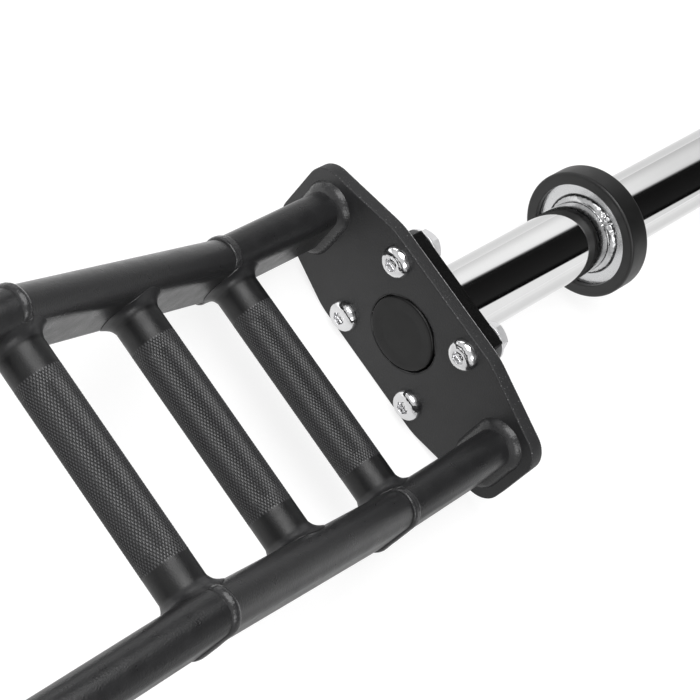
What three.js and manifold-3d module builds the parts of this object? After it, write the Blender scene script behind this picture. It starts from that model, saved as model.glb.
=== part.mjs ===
// Cambered multi-grip barbell (swiss bar), in millimetres.
// +X runs along the bar, +Y across the cage and +Z up. The bar stands on the straight lower edges
// of its two end plates, and the origin lies on that floor, below the middle of the bar.
import * as THREE from 'three';
import { mergeVertices } from 'three/addons/utils/BufferGeometryUtils.js';
import Module from 'manifold-3d';

const wasm = await Module();
wasm.setup();

// Overall sizes
const collarSpan = 1310;
const collarStandoff = 160;
const loadableLength = 410;

// Cage: flat-oval rails, cambered by two mitred joints at each end
const railSpacing = 181;
const railWidth = 25;
const railHeight = 50;
const railWall = 3;
const levelEndLength = 95;
const slopeLength = 214;
const slopeAngle = THREE.MathUtils.degToRad(24);

// Weld beads: a crowned band over each mitre, a fillet where a tube stands on a face
const mitreBeadWidth = 7;
const mitreBeadHeight = 1.8;
const plateFilletLeg = 5.5;
const gripFilletLeg = 6;
const sleeveFilletLeg = 5;
const collarFilletLeg = 4;
const filletBulgeShare = 0.12;
const gripFilletHollowShare = 0.1;
const weldGap = 0.3;

// Grips: the outer one's distance from the end plate, and the distance from one to the next
const outerGripStandoff = 87;
const gripSpacing = 101;
const gripDiameter = 28;
const gripWall = 3.5;
const gripEndLap = 3;

// End plate, which stands out past the rails, the flange bolted behind it and the plug in its middle
const plateOverhang = 11.5;
const plateHeight = 98;
const plateThickness = 10;
const plateStraight = 100;
const plateTaper = THREE.MathUtils.degToRad(15);
const plateCornerRadius = 18;
const edgeBreak = 0.6;
const flangeWidth = 86;
const flangeHeight = 95;
const flangeThickness = 10;
const flangeCornerRadius = 1.5;
const plugHoleDiameter = 52;
const plugDiameter = 50.4;
const plugRise = 1.4;
const plugRounding = 1.2;
const plugNeckLength = 8;

// Bolts, washers and nuts
const boltSpacing = 70;
const boltDiameter = 12;
const boltHeadDiameter = 21;
const boltHeadHeight = 6;
const boltHeadRim = 0.8;
const boltHeadFlatDiameter = 10.5;
const boltEndLength = 1.8;
const boltEndChamfer = 1;
const socketWidth = 8;
const socketDepth = 3.8;
const nutWidth = 19;
const nutHeight = 8;
const nutChamfer = 1.4;
const washerDiameter = 27;
const washerThickness = 2;
const boltClearance = 0.5;
const fitClearance = 0.3;

// Sleeve tube with its fixed collar: a steel disc held in the groove of a rubber ring
const sleeveDiameter = 50;
const sleeveWall = 5;
const sleeveChamfer = 1;
const discDiameter = 80;
const discThickness = 9;
const ringDiameter = 90;
const ringWidth = 18;
const ringOpening = 73;
const ringRounding = 2;
const sleeveCapHeight = 3;
const sleeveCapRounding = 1.2;
const sleeveCapPlugLength = 14;

// Steps round each curved form
const railArcSteps = 6;
const beadSteps = 3;
const filletSteps = 2;
const gripSteps = 16;
const sleeveSteps = 24;
const boltSteps = 12;
const cornerSteps = 5;
const roundingSteps = 2;
const hexSides = 6;

// Sizes that follow from the ones above
const plateWidth = railSpacing + railWidth + 2 * plateOverhang;
const railReach = collarSpan / 2 - collarStandoff - flangeThickness - plateThickness;
const slopeRun = slopeLength * Math.cos(slopeAngle);
const camber = slopeLength * Math.sin(slopeAngle);
const outerGripPlace = railReach - outerGripStandoff;
const gripPlaces = {
  inner: outerGripPlace - 2 * gripSpacing,
  middle: outerGripPlace - gripSpacing,
  outer: outerGripPlace,
};
const sleeveRadius = sleeveDiameter / 2;
const sleeveBoreRadius = sleeveRadius - sleeveWall;
const flangeFace = railReach + plateThickness;
const sleeveStart = flangeFace + flangeThickness;
const collarFace = collarSpan / 2;
const sleeveEnd = collarFace + ringWidth + loadableLength;

// The four bolt places, as [y, z] from the axis of the sleeve
const corners = [[1, 1], [-1, 1], [-1, -1], [1, -1]];
const boltPlaces = corners.map(([side, level]) => [(side * boltSpacing) / 2, (level * boltSpacing) / 2]);

const alongX = new THREE.Vector3(1, 0, 0);
const alongY = new THREE.Vector3(0, 1, 0);
const alongZ = new THREE.Vector3(0, 0, 1);

const blackCoat = new THREE.MeshStandardMaterial({ color: 0x2e2e2f, roughness: 0.45, metalness: 0.2 });
const brightChrome = new THREE.MeshStandardMaterial({ color: 0xdcdddf, roughness: 0.08, metalness: 1 });
const blackRubber = new THREE.MeshStandardMaterial({ color: 0x303030, roughness: 0.75, metalness: 0 });
const blackPlastic = new THREE.MeshStandardMaterial({ color: 0x262626, roughness: 0.4, metalness: 0 });

function named(name, geometry, material) {
  const mesh = new THREE.Mesh(geometry, material);
  mesh.name = name;
  return mesh;
}

// Closed triangles of a geometry as a solid that can be joined and cut
function toSolid(geometry) {
  const bare = geometry.clone();
  bare.deleteAttribute('normal');
  bare.deleteAttribute('uv');
  const merged = mergeVertices(bare);
  const index = merged.index.array;
  const triangles = [];
  for (let i = 0; i < index.length; i += 3) {
    const [a, b, c] = [index[i], index[i + 1], index[i + 2]];
    if (a !== b && b !== c && c !== a) triangles.push(a, b, c);
  }
  return new wasm.Manifold(new wasm.Mesh({
    numProp: 3,
    vertProperties: new Float32Array(merged.attributes.position.array),
    triVerts: new Uint32Array(triangles),
  }));
}

function fromSolid(solid) {
  const mesh = solid.getMesh();
  const geometry = new THREE.BufferGeometry();
  geometry.setAttribute('position', new THREE.BufferAttribute(mesh.vertProperties, 3));
  geometry.setIndex(new THREE.BufferAttribute(mesh.triVerts, 1));
  return geometry;
}

// A fillet weld's face as [growth, distance] points, from the face it stands on to the tube. The bulge
// share is below zero where the weld is hollow.
function filletPoints(leg, bulgeShare = filletBulgeShare) {
  return Array.from({ length: filletSteps + 1 }, (_, i) => {
    const share = i / filletSteps;
    const bulge = leg * bulgeShare * Math.sin(Math.PI * share);
    return [leg * (1 - share) + bulge, leg * share + bulge];
  });
}

// Points of an arc, from one angle to another, both ends included
function arcPoints(centreX, centreY, radius, from, to, steps) {
  return Array.from({ length: steps + 1 }, (_, i) => {
    const angle = from + ((to - from) * i) / steps;
    return new THREE.Vector2(centreX + radius * Math.cos(angle), centreY + radius * Math.sin(angle));
  });
}

// A profile of [radius, distance] points turned about the bar's axis
function turnedAlongX(profile, steps) {
  const points = profile.map(([radius, distance]) => new THREE.Vector2(radius, distance));
  return new THREE.LatheGeometry(points, steps).rotateZ(-Math.PI / 2);
}

// A hexagonal bar on the X axis, by its width over the flats
function hexBar(width, from, to) {
  const cornerRadius = width / 2 / Math.cos(Math.PI / hexSides);
  const bar = new THREE.CylinderGeometry(cornerRadius, cornerRadius, to - from, hexSides);
  return bar.rotateZ(-Math.PI / 2).translate((from + to) / 2, 0, 0);
}

// Round bar on an axis along X, through all of a plate, for boring a hole
function boringBar(y, z, radius, thickness, steps) {
  const bar = new THREE.CylinderGeometry(radius, radius, 2 * thickness, steps);
  return toSolid(bar.rotateZ(-Math.PI / 2).translate(thickness / 2, y, z));
}

// A plate standing across the bar: an outline in Y and Z with broken edges, bored in its middle
// and at the four bolt places
function standingPlate(outline, thickness, middleBore) {
  const blank = new THREE.ExtrudeGeometry(new THREE.Shape(outline), {
    depth: thickness - 2 * edgeBreak,
    bevelThickness: edgeBreak,
    bevelSize: edgeBreak,
    bevelOffset: -edgeBreak,
    bevelSegments: 1,
  });
  blank.translate(0, 0, edgeBreak);
  blank.applyMatrix4(new THREE.Matrix4().makeBasis(alongY, alongZ, alongX));
  const boltHole = boltDiameter / 2 + boltClearance;
  return [
    boringBar(0, 0, middleBore, thickness, sleeveSteps),
    ...boltPlaces.map(([y, z]) => boringBar(y, z, boltHole, thickness, boltSteps)),
  ].reduce((plate, bar) => plate.subtract(bar), toSolid(blank));
}

// Flat-oval section, grown outwards or shrunk, as [across, up] points
function flatOval(growth) {
  const radius = railWidth / 2 + growth;
  const straight = (railHeight - railWidth) / 2;
  const top = arcPoints(0, straight, radius, 0, Math.PI, railArcSteps);
  const bottom = arcPoints(0, -straight, radius, Math.PI, 2 * Math.PI, railArcSteps);
  return [...top, ...bottom];
}

// Skin between rings of equal point counts that follow each other towards -X. A closed chain
// joins its last ring to its first, and an open one is capped at both ends.
function loft(rings, closed) {
  const count = rings[0].length;
  const index = [];
  const spans = closed ? rings.length : rings.length - 1;
  for (let i = 0; i < spans; i += 1) {
    const near = i * count;
    const far = ((i + 1) % rings.length) * count;
    for (let j = 0; j < count; j += 1) {
      const k = (j + 1) % count;
      index.push(near + j, far + k, near + k, near + j, far + j, far + k);
    }
  }
  if (!closed) {
    const last = (rings.length - 1) * count;
    for (let j = 1; j < count - 1; j += 1) {
      index.push(0, j, j + 1, last, last + j + 1, last + j);
    }
  }
  const geometry = new THREE.BufferGeometry().setFromPoints(rings.flat());
  geometry.setIndex(index);
  return geometry;
}

// Rail path of one end of the bar: the plate, the outer mitre and the inner mitre. Each station
// has the direction of the tube on its outer and inner side and the slant of its cut face.
function station(x, z, outerAngle, innerAngle) {
  const direction = (angle) => new THREE.Vector3(Math.cos(angle), 0, -Math.sin(angle));
  const upright = (angle) => new THREE.Vector3(Math.sin(angle), 0, Math.cos(angle));
  const spread = 1 + upright(outerAngle).dot(upright(innerAngle));
  return {
    at: new THREE.Vector3(x, 0, z),
    outwards: direction(outerAngle),
    inwards: direction(innerAngle).negate(),
    up: upright(outerAngle).add(upright(innerAngle)).divideScalar(spread),
  };
}

const plateStation = station(railReach, 0, 0, 0);
const outerMitre = station(railReach - levelEndLength, 0, 0, slopeAngle);
const innerMitre = station(railReach - levelEndLength - slopeRun, camber, slopeAngle, 0);

// One ring of the rail's section at a station, moved from its cut face along the tube
function railRing({ at, up }, direction, distance, growth) {
  return flatOval(growth).map((point) => at.clone()
    .addScaledVector(alongY, point.x)
    .addScaledVector(up, point.y)
    .addScaledVector(direction, distance));
}

// The crown of a mitre bead, from its outer toe to its inner toe
function beadRings(mitre, outerToe, innerToe, extra) {
  return Array.from({ length: 2 * beadSteps + 1 }, (_, i) => {
    const angle = (Math.PI * i) / (2 * beadSteps);
    const distance = (mitreBeadWidth / 2) * Math.cos(angle);
    const direction = distance > 0 ? mitre.outwards : mitre.inwards;
    const toe = distance > 0 ? outerToe : innerToe;
    const height = Math.max(toe, mitreBeadHeight * Math.sin(angle)) + extra;
    return railRing(mitre, direction, Math.abs(distance), height);
  });
}

// Level end of a rail, with the fillet weld that joins it to the end plate
function levelEnd() {
  const { inwards } = plateStation;
  const fillet = filletPoints(plateFilletLeg).map(([growth, distance]) => (
    railRing(plateStation, inwards, distance, growth)));
  return loft([
    ...fillet,
    railRing(outerMitre, outerMitre.outwards, weldGap, 0),
    railRing(outerMitre, outerMitre.outwards, weldGap, -railWall),
    railRing(plateStation, inwards, 0, -railWall),
  ], true);
}

// Sloping tube between the two mitres. Its own beads reach over the neighbouring tubes.
function slope() {
  return loft([
    ...beadRings(outerMitre, weldGap, 0, 0),
    ...beadRings(innerMitre, 0, weldGap, 0),
    railRing(innerMitre, innerMitre.inwards, 0, weldGap),
    railRing(innerMitre, innerMitre.inwards, 0, -railWall),
    railRing(outerMitre, outerMitre.outwards, 0, -railWall),
    railRing(outerMitre, outerMitre.outwards, 0, weldGap),
  ], true);
}

// Level middle of a rail, which runs on to the mitre of the other end
function levelMiddle() {
  const half = (growth) => railRing(innerMitre, innerMitre.inwards, weldGap, growth);
  const other = (growth) => half(growth).map((point) => point.setX(-point.x));
  return loft([half(0), other(0), other(-railWall), half(-railWall)], true);
}

// Everything that a rail and its mitre beads take up, with the gap kept to them
function railEnvelope() {
  return loft([
    railRing(plateStation, plateStation.inwards, 0, weldGap),
    ...beadRings(outerMitre, 0, 0, weldGap),
    ...beadRings(innerMitre, 0, 0, weldGap),
    railRing(innerMitre, innerMitre.inwards, innerMitre.at.x, weldGap),
  ], false);
}

function railHeightAt(x) {
  const share = (outerMitre.at.x - x) / slopeRun;
  return camber * THREE.MathUtils.clamp(share, 0, 1);
}

// Grip tube between the rails, its two weld fillets cut to the rails and their beads
function grip(place, envelopes) {
  const radius = gripDiameter / 2;
  const seat = railSpacing / 2 - railWidth / 2;
  const end = seat + gripEndLap;
  const bore = radius - gripWall;
  const flare = filletPoints(gripFilletLeg, -gripFilletHollowShare).reverse().map(
    ([growth, distance]) => new THREE.Vector2(radius + growth, seat - distance));
  const upper = [...flare, new THREE.Vector2(radius + gripFilletLeg, end), new THREE.Vector2(bore, end)];
  const lower = upper.map((point) => new THREE.Vector2(point.x, -point.y)).reverse();
  const tube = new THREE.LatheGeometry([...lower, ...upper, lower[0]], gripSteps);
  let solid = toSolid(tube.translate(place, 0, railHeightAt(place)));
  for (const envelope of envelopes) solid = solid.subtract(envelope);
  return fromSolid(solid);
}

// Outline of the end plate: straight edges in the middle, tapers and rounded ends
function plateOutline() {
  const halfWidth = plateWidth / 2;
  const halfHeight = plateHeight / 2;
  const taperEnd = halfHeight - (halfWidth - plateStraight / 2) * Math.tan(plateTaper);
  const turn = Math.PI / 2 - plateTaper;
  const tangent = plateCornerRadius * Math.tan(turn / 2);
  const centreY = halfWidth - plateCornerRadius;
  const centreZ = taperEnd - tangent;
  const corner = arcPoints(centreY, centreZ, plateCornerRadius, 0, turn, cornerSteps);
  const quarter = [...corner, new THREE.Vector2(plateStraight / 2, halfHeight)];
  const mirrored = (sideways, upwards) => (
    quarter.map((point) => new THREE.Vector2(point.x * sideways, point.y * upwards)));
  return [
    ...mirrored(1, 1),
    ...mirrored(-1, 1).reverse(),
    ...mirrored(-1, -1),
    ...mirrored(1, -1).reverse(),
  ];
}

function endPlate() {
  const plate = standingPlate(plateOutline(), plateThickness, plugHoleDiameter / 2);
  return fromSolid(plate).translate(railReach, 0, 0);
}

// Flange with slightly rounded corners and the fillet weld round the foot of the sleeve
function flange() {
  const sideInset = flangeWidth / 2 - flangeCornerRadius;
  const levelInset = flangeHeight / 2 - flangeCornerRadius;
  const outline = corners.flatMap(([side, level], i) => {
    const from = (i * Math.PI) / 2;
    const to = from + Math.PI / 2;
    return arcPoints(side * sideInset, level * levelInset, flangeCornerRadius, from, to, roundingSteps);
  });
  const plate = standingPlate(outline, flangeThickness, sleeveBoreRadius);
  const inner = sleeveRadius + fitClearance;
  const root = flangeThickness - edgeBreak;
  const fillet = turnedAlongX([
    [inner, root],
    [inner + sleeveFilletLeg, root],
    ...filletPoints(sleeveFilletLeg).map(([growth, distance]) => (
      [inner + growth, flangeThickness + distance])),
    [inner, root],
  ], sleeveSteps);
  return fromSolid(plate.add(toSolid(fillet))).translate(flangeFace, 0, 0);
}

// Plug in the middle of the end plate: a rounded disc that stands out of the plate's hole by a
// little, and a neck pressed into the bore of the flange
function platePlug() {
  const rim = plugDiameter / 2;
  const neck = sleeveBoreRadius - fitClearance;
  const end = plateThickness + plugNeckLength;
  const crown = arcPoints(rim - plugRounding, plugRounding - plugRise, plugRounding,
    -Math.PI / 2, 0, roundingSteps);
  return turnedAlongX([
    [0, -plugRise],
    ...crown.map((point) => [point.x, point.y]),
    [rim, plateThickness],
    [neck, plateThickness],
    [neck, end],
    [0, end],
  ], sleeveSteps).translate(railReach, 0, 0);
}

// Button-head bolt with a hexagon socket, from the plate's inner face through the nut
function bolt(y, z) {
  const grip = plateThickness + flangeThickness + washerThickness + nutHeight;
  const end = grip + boltEndLength;
  const shank = boltDiameter / 2;
  const flat = boltHeadFlatDiameter / 2;
  const dome = Array.from({ length: roundingSteps + 1 }, (_, i) => {
    const angle = ((Math.PI / 2) * i) / roundingSteps;
    const radius = flat + (boltHeadDiameter / 2 - flat) * Math.sin(angle);
    return [radius, -boltHeadRim - (boltHeadHeight - boltHeadRim) * Math.cos(angle)];
  });
  const body = turnedAlongX([
    [0, -boltHeadHeight],
    ...dome,
    [boltHeadDiameter / 2, 0],
    [shank, 0],
    [shank, end - boltEndChamfer],
    [shank - boltEndChamfer, end],
    [0, end],
  ], boltSteps);
  const socket = hexBar(socketWidth, -boltHeadHeight - socketDepth, -boltHeadHeight + socketDepth);
  return fromSolid(toSolid(body).subtract(toSolid(socket))).translate(railReach, y, z);
}

function washer(y, z) {
  const inner = boltDiameter / 2 + boltClearance;
  const outer = washerDiameter / 2;
  const ring = [[inner, 0], [outer, 0], [outer, washerThickness], [inner, washerThickness], [inner, 0]];
  return turnedAlongX(ring, boltSteps).translate(sleeveStart, y, z);
}

// Hexagon nut with a corner straight up, and its corners turned off at the outer face
function nut(y, z) {
  const corner = nutWidth / 2 / Math.cos(Math.PI / hexSides);
  const turned = turnedAlongX([
    [0, 0],
    [corner, 0],
    [corner, nutHeight - nutChamfer / 2],
    [corner - nutChamfer, nutHeight],
    [0, nutHeight],
  ], 2 * boltSteps);
  const bore = boringBar(0, 0, boltDiameter / 2 + fitClearance, nutHeight, boltSteps);
  const hexagon = hexBar(nutWidth, 0, nutHeight).rotateX(Math.PI / hexSides);
  const solid = toSolid(hexagon).intersect(toSolid(turned)).subtract(bore);
  return fromSolid(solid).translate(sleeveStart + washerThickness, y, z);
}

// Sleeve tube, from the flange through the collar to its outer end
function sleeve() {
  return turnedAlongX([
    [sleeveBoreRadius, sleeveStart],
    [sleeveRadius, sleeveStart],
    [sleeveRadius, sleeveEnd - sleeveChamfer],
    [sleeveRadius - sleeveChamfer, sleeveEnd],
    [sleeveBoreRadius, sleeveEnd],
    [sleeveBoreRadius, sleeveStart],
  ], sleeveSteps);
}

// Steel disc of the collar, welded to the sleeve on its inner face
function collarDisc() {
  const bore = sleeveRadius + fitClearance;
  const face = collarFace + (ringWidth - discThickness) / 2;
  const fillet = filletPoints(collarFilletLeg).reverse();
  return turnedAlongX([
    ...fillet.map(([growth, distance]) => [bore + growth, face - distance]),
    [discDiameter / 2, face],
    [discDiameter / 2, face + discThickness],
    [bore, face + discThickness],
    [bore, face - collarFilletLeg],
  ], sleeveSteps);
}

// Rubber ring with rounded edges, grooved inside to hold the rim of the disc
function collarRing() {
  const outer = ringDiameter / 2;
  const inner = ringOpening / 2;
  const groove = discDiameter / 2 + fitClearance;
  const near = collarFace;
  const far = collarFace + ringWidth;
  const lip = (ringWidth - discThickness) / 2 - fitClearance;
  const centre = outer - ringRounding;
  const nearEdge = arcPoints(centre, near + ringRounding, ringRounding, -Math.PI / 2, 0, roundingSteps);
  const farEdge = arcPoints(centre, far - ringRounding, ringRounding, 0, Math.PI / 2, roundingSteps);
  return turnedAlongX([
    [inner, near],
    ...nearEdge.map((point) => [point.x, point.y]),
    ...farEdge.map((point) => [point.x, point.y]),
    [inner, far],
    [inner, far - lip],
    [groove, far - lip],
    [groove, near + lip],
    [inner, near + lip],
    [inner, near],
  ], sleeveSteps);
}

// Cap that closes the outer end of the sleeve, with a plug inside the bore
function sleeveCap() {
  const rim = sleeveRadius - sleeveChamfer;
  const plug = sleeveBoreRadius - fitClearance;
  const far = sleeveEnd + sleeveCapHeight;
  const crown = arcPoints(rim - sleeveCapRounding, far - sleeveCapRounding, sleeveCapRounding,
    0, Math.PI / 2, roundingSteps);
  return turnedAlongX([
    [0, sleeveEnd - sleeveCapPlugLength],
    [plug, sleeveEnd - sleeveCapPlugLength],
    [plug, sleeveEnd],
    [rim, sleeveEnd],
    ...crown.map((point) => [point.x, point.y]),
    [0, far],
  ], sleeveSteps);
}

const railSides = { front: -railSpacing / 2, back: railSpacing / 2 };

// One end of the bar, drawn towards +X. The turned end swaps its front and back rails.
function barEnd(end, sides) {
  const group = new THREE.Group();
  const envelope = railEnvelope();
  const envelopes = Object.values(railSides).map((y) => toSolid(envelope.clone().translate(0, y, 0)));
  for (const [side, y] of Object.entries(sides)) {
    group.add(named(`rail_${side}_end_${end}`, levelEnd().translate(0, y, 0), blackCoat));
    group.add(named(`rail_${side}_slope_${end}`, slope().translate(0, y, 0), blackCoat));
  }
  for (const [name, place] of Object.entries(gripPlaces)) {
    group.add(named(`grip_${name}_${end}`, grip(place, envelopes), blackCoat));
  }
  group.add(named(`end_plate_${end}`, endPlate(), blackCoat));
  group.add(named(`plate_plug_${end}`, platePlug(), blackPlastic));
  group.add(named(`flange_${end}`, flange(), blackCoat));
  boltPlaces.forEach(([y, z], i) => {
    group.add(named(`bolt_${end}_${i + 1}`, bolt(y, z), brightChrome));
    group.add(named(`washer_${end}_${i + 1}`, washer(y, z), brightChrome));
    group.add(named(`nut_${end}_${i + 1}`, nut(y, z), brightChrome));
  });
  group.add(named(`sleeve_${end}`, sleeve(), brightChrome));
  group.add(named(`collar_disc_${end}`, collarDisc(), brightChrome));
  group.add(named(`collar_ring_${end}`, collarRing(), blackRubber));
  group.add(named(`sleeve_cap_${end}`, sleeveCap(), blackPlastic));
  return group;
}

const rightEnd = barEnd('right', railSides);
const leftEnd = barEnd('left', { front: railSides.back, back: railSides.front });
leftEnd.rotation.z = Math.PI;

const bar = new THREE.Group();
bar.add(rightEnd, leftEnd);
for (const [side, y] of Object.entries(railSides)) {
  bar.add(named(`rail_${side}_middle`, levelMiddle().translate(0, y, 0), blackCoat));
}
bar.position.z = plateHeight / 2;

const group = new THREE.Group();
group.add(bar);

export default group;
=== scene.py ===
import math

import bpy
import numpy as np
from mathutils import Matrix, Vector
from mathutils.geometry import delaunay_2d_cdt


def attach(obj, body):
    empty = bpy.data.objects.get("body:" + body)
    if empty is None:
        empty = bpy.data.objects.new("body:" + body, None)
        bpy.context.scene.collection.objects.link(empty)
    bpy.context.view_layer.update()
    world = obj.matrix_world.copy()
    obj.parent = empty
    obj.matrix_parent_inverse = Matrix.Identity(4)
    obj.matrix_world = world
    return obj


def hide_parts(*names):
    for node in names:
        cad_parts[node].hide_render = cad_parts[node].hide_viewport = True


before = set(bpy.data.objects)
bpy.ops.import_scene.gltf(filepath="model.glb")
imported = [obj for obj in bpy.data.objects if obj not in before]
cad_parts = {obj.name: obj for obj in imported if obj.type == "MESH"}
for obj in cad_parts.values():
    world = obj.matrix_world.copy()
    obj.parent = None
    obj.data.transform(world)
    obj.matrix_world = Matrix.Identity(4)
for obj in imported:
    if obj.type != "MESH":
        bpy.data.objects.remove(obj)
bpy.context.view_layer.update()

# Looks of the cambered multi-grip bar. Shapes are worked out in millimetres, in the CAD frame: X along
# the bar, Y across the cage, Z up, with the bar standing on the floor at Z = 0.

MM = 0.001
TURN = 2 * math.pi

# Height of the sleeves' axis over the floor
AXIS_HEIGHT = 49.0

# Rails: flat-oval tube, mitred at both ends of each slope
RAIL_SPACING = 181.0
RAIL_WIDTH = 25.0
RAIL_HEIGHT = 50.0
RAIL_WALL = 3.0
RAIL_REACH = 475.0
LEVEL_END = 95.0
SLOPE_LENGTH = 214.0
SLOPE_ANGLE = math.radians(24)
SLOPE_RUN = SLOPE_LENGTH * math.cos(SLOPE_ANGLE)
CAMBER = SLOPE_LENGTH * math.sin(SLOPE_ANGLE)
RAIL_RADIUS = RAIL_WIDTH / 2
RAIL_STRAIGHT = RAIL_HEIGHT - RAIL_WIDTH
RAIL_GIRTH = 2 * RAIL_STRAIGHT + TURN * RAIL_RADIUS

# Welds. A ripple is the crescent that each dab of the weld leaves, a wander how far the weld strays along
# its length, and a leg the side of a fillet's triangle. The bulges are shares of the leg, and the bead's
# width wanders by a share of itself.
MITRE_BEAD_WIDTH = 7.0
MITRE_BEAD_HEIGHT = 1.8
MITRE_WIDTH_WANDER = 0.08
MITRE_WANDER = 0.12
MITRE_RIPPLE = 0.03
TOE_DEPTH = 0.3
PLATE_FILLET_LEG = 5.5
PLATE_WELD_WANDER = 0.22
PLATE_WELD_RIPPLE = 0.06
GRIP_FILLET_LEG = 6.0
GRIP_WELD_WANDER = 0.15
GRIP_WELD_RIPPLE = 0.02
GRIP_WELD_CLEAR = 2.0
GRIP_WELD_FADE = 9.0
FOOT_FILLET_LEG = 5.0
FOOT_WELD_RIPPLE = 0.1
COLLAR_FILLET_LEG = 4.0
COLLAR_WELD_RIPPLE = 0.05
COLLAR_LUMP = 0.55
LUMP_PLACE = 0.285
LUMP_SPREAD = 0.045
FILLET_BULGE = 0.12
GRIP_FILLET_BULGE = -0.16
RIPPLE_LAG = 0.35
RAIL_RIPPLES = 44
GRIP_RIPPLES = 34
FOOT_RIPPLES = 46
COLLAR_RIPPLES = 40

# Grips. The knurl is drawn a little coarser than the real one, so that it shows. The count is its grooves
# each way round, and the cell is the length of a diamond.
GRIP_PLACES = {"inner": 186.0, "middle": 287.0, "outer": 388.0}
GRIP_RADIUS = 14.0
GRIP_BORE = 10.5
KNURL_COUNT = 46
KNURL_CELL = 3.2
KNURL_RISE = 0.1
KNURL_DEPTH = 0.34
KNURL_CREST = 0.78
KNURL_LENGTH = 115.5
KNURL_RUN_OUT = 1.5

# End plate, flange, plug
PLATE_WIDTH = 229.0
PLATE_HEIGHT = 98.0
PLATE_THICKNESS = 10.0
PLATE_STRAIGHT = 100.0
PLATE_TAPER = math.radians(15)
PLATE_CORNER = 18.0
PLATE_KNEE = 45.0
PLATE_ROUNDING = 0.9
FLANGE_WIDTH = 86.0
FLANGE_HEIGHT = 95.0
FLANGE_THICKNESS = 10.0
FLANGE_CORNER = 1.5
FLANGE_ROUNDING = 0.3
FLANGE_FACE = RAIL_REACH + PLATE_THICKNESS
SLEEVE_START = FLANGE_FACE + FLANGE_THICKNESS
PLUG_HOLE = 26.0
PLUG_RADIUS = 25.2
PLUG_RISE = 1.4
PLUG_SINK = 0.3
PLUG_DISH = 9.0
PLUG_SHOULDER = 3.0
PLUG_NECK = 19.7
PLUG_NECK_LENGTH = 8.0
PLUG_OFF_CENTRE = (0.42, 0.4)

# How the coat is painted with glints and worn: the power of the knurl's height that the painted glint on
# its crests follows, the painted glint's value on the grips' welds, and the values of wear and painted
# glint round a plate's edge, ring by ring from the near face over the wall to the far face
CREST_GLINT_POWER = 6
WELD_GLINT = 0.12
EDGE_WEAR_AND_GLINTS = (0.0, 0.0, 1.2, 1.2, 1.2, 1.1, 1.1, 2.8, 2.8, 2.8, 1.1, 0.0)

# Fasteners
BOLT_OFFSET = 35.0
BOLT_RADIUS = 6.0
BOLT_HOLE = 6.5
HEAD_RADIUS = 10.5
HEAD_HEIGHT = 6.0
HEAD_RIM = 0.8
HEAD_FLAT = 5.25
SOCKET_WIDTH = 8.0
SOCKET_DEPTH = 3.8
BOLT_END = 1.8
NUT_WIDTH = 19.0
NUT_HEIGHT = 8.0
NUT_FACE = 0.97
NUT_CORNERS = 1.8
NUT_SLANT = math.radians(32)
COUNTERSINK = 0.8
WASHER_RADIUS = 13.5
WASHER_THICKNESS = 2.0
WASHER_ROUNDING = 0.45
THREAD_PITCH = 1.75
THREAD_DEPTH = 0.9
THREAD_IN_NUT = 3.0

# How far each nut happened to be turned when it was tight
NUT_TURNS = np.radians([38, 16, 25, 41])

# Sleeve and collar
SLEEVE_RADIUS = 25.0
SLEEVE_BORE = 20.0
SLEEVE_END = 1083.0
COLLAR_FACE = 655.0
DISC_RADIUS = 40.0
DISC_THICKNESS = 9.0
DISC_ROUNDING = 0.3
RING_RADIUS = 45.0
RING_ROUNDING = 2.0
RING_WIDTH = 18.0
DISC_FACE = COLLAR_FACE + (RING_WIDTH - DISC_THICKNESS) / 2
RING_OPENING = 36.5
RING_PLAY = 0.25
CAP_HEIGHT = 3.0
CAP_DEPTH = 14.0
CAP_RIM = 3.0
CAP_DISH = 0.6
TURNING_PITCH = 1.5
TURNING_DEPTH = 0.006
TURNING_START = 1.5

# Room between a round part and the bore that it sits in
PLAY = 0.1

# Fineness of the meshes, and the angle in degrees over which an edge stays sharp
RAIL_COLUMNS = 8 * RAIL_RIPPLES
ROUND_COLUMNS = 144
BOLT_COLUMNS = 96
BEAD_STEPS = 8
FILLET_STEPS = 8
KNURL_STEPS = 4
THREAD_STEPS = 7
TURNING_STEPS = 6
CREASE = 38.0
GRIP_CREASE = 36.0
BOLT_CREASE = 32.0
NUT_CREASE = 28.0

# Radius of the last ring before a shell closes, and the distance under which two points are one
POLE_RADIUS = 1.0
SAME_POINT = 1e-6

# Points that keep flat surfaces shaded flat: their distance from an arc's end, with the most share of the
# side, and from a plate's edge in shares of its rounding
SUPPORT = 0.5
SUPPORT_SHARE = 0.3
RIM_SUPPORT = 1.25

# Detail of the noise behind a finish's patches and its grain, and the values of the patches between which
# their gloss changes
PATCH_DETAIL = 3.0
GRAIN_DETAIL = 2.0
PATCH_RANGE = (0.3, 0.7)


# Materials


def linear(hex_colour):
    """Linear colour of an sRGB hex value: each channel goes through the sRGB curve."""
    channels = np.array([int(hex_colour[i:i + 2], 16) for i in (1, 3, 5)]) / 255
    low = channels / 12.92
    high = ((channels + 0.055) / 1.055) ** 2.4
    return (*np.where(channels <= 0.04045, low, high), 1.0)


def add(tree, kind, links=None, stops=(), **settings):
    """A new shader node with its settings, and its inputs set to values or linked: to a socket, or to the
    first output of a node. The stops are those of a ramp: each a place from zero to one and a strength."""
    made = tree.nodes.new("ShaderNode" + kind)
    for place, strength in stops[1:-1]:
        made.color_ramp.elements.new(place).color = (strength, strength, strength, 1)
    for end, (place, strength) in zip((0, len(stops) - 1), stops[::max(len(stops) - 1, 1)]):
        made.color_ramp.elements[end].position = place
        made.color_ramp.elements[end].color = (strength, strength, strength, 1)
    for name, value in settings.items():
        setattr(made, name, value)
    for name, value in (links or {}).items():
        if isinstance(value, bpy.types.Node):
            value = value.outputs[0]
        if isinstance(value, bpy.types.NodeSocket):
            tree.links.new(value, made.inputs[name])
        else:
            made.inputs[name].default_value = value
    return made


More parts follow.
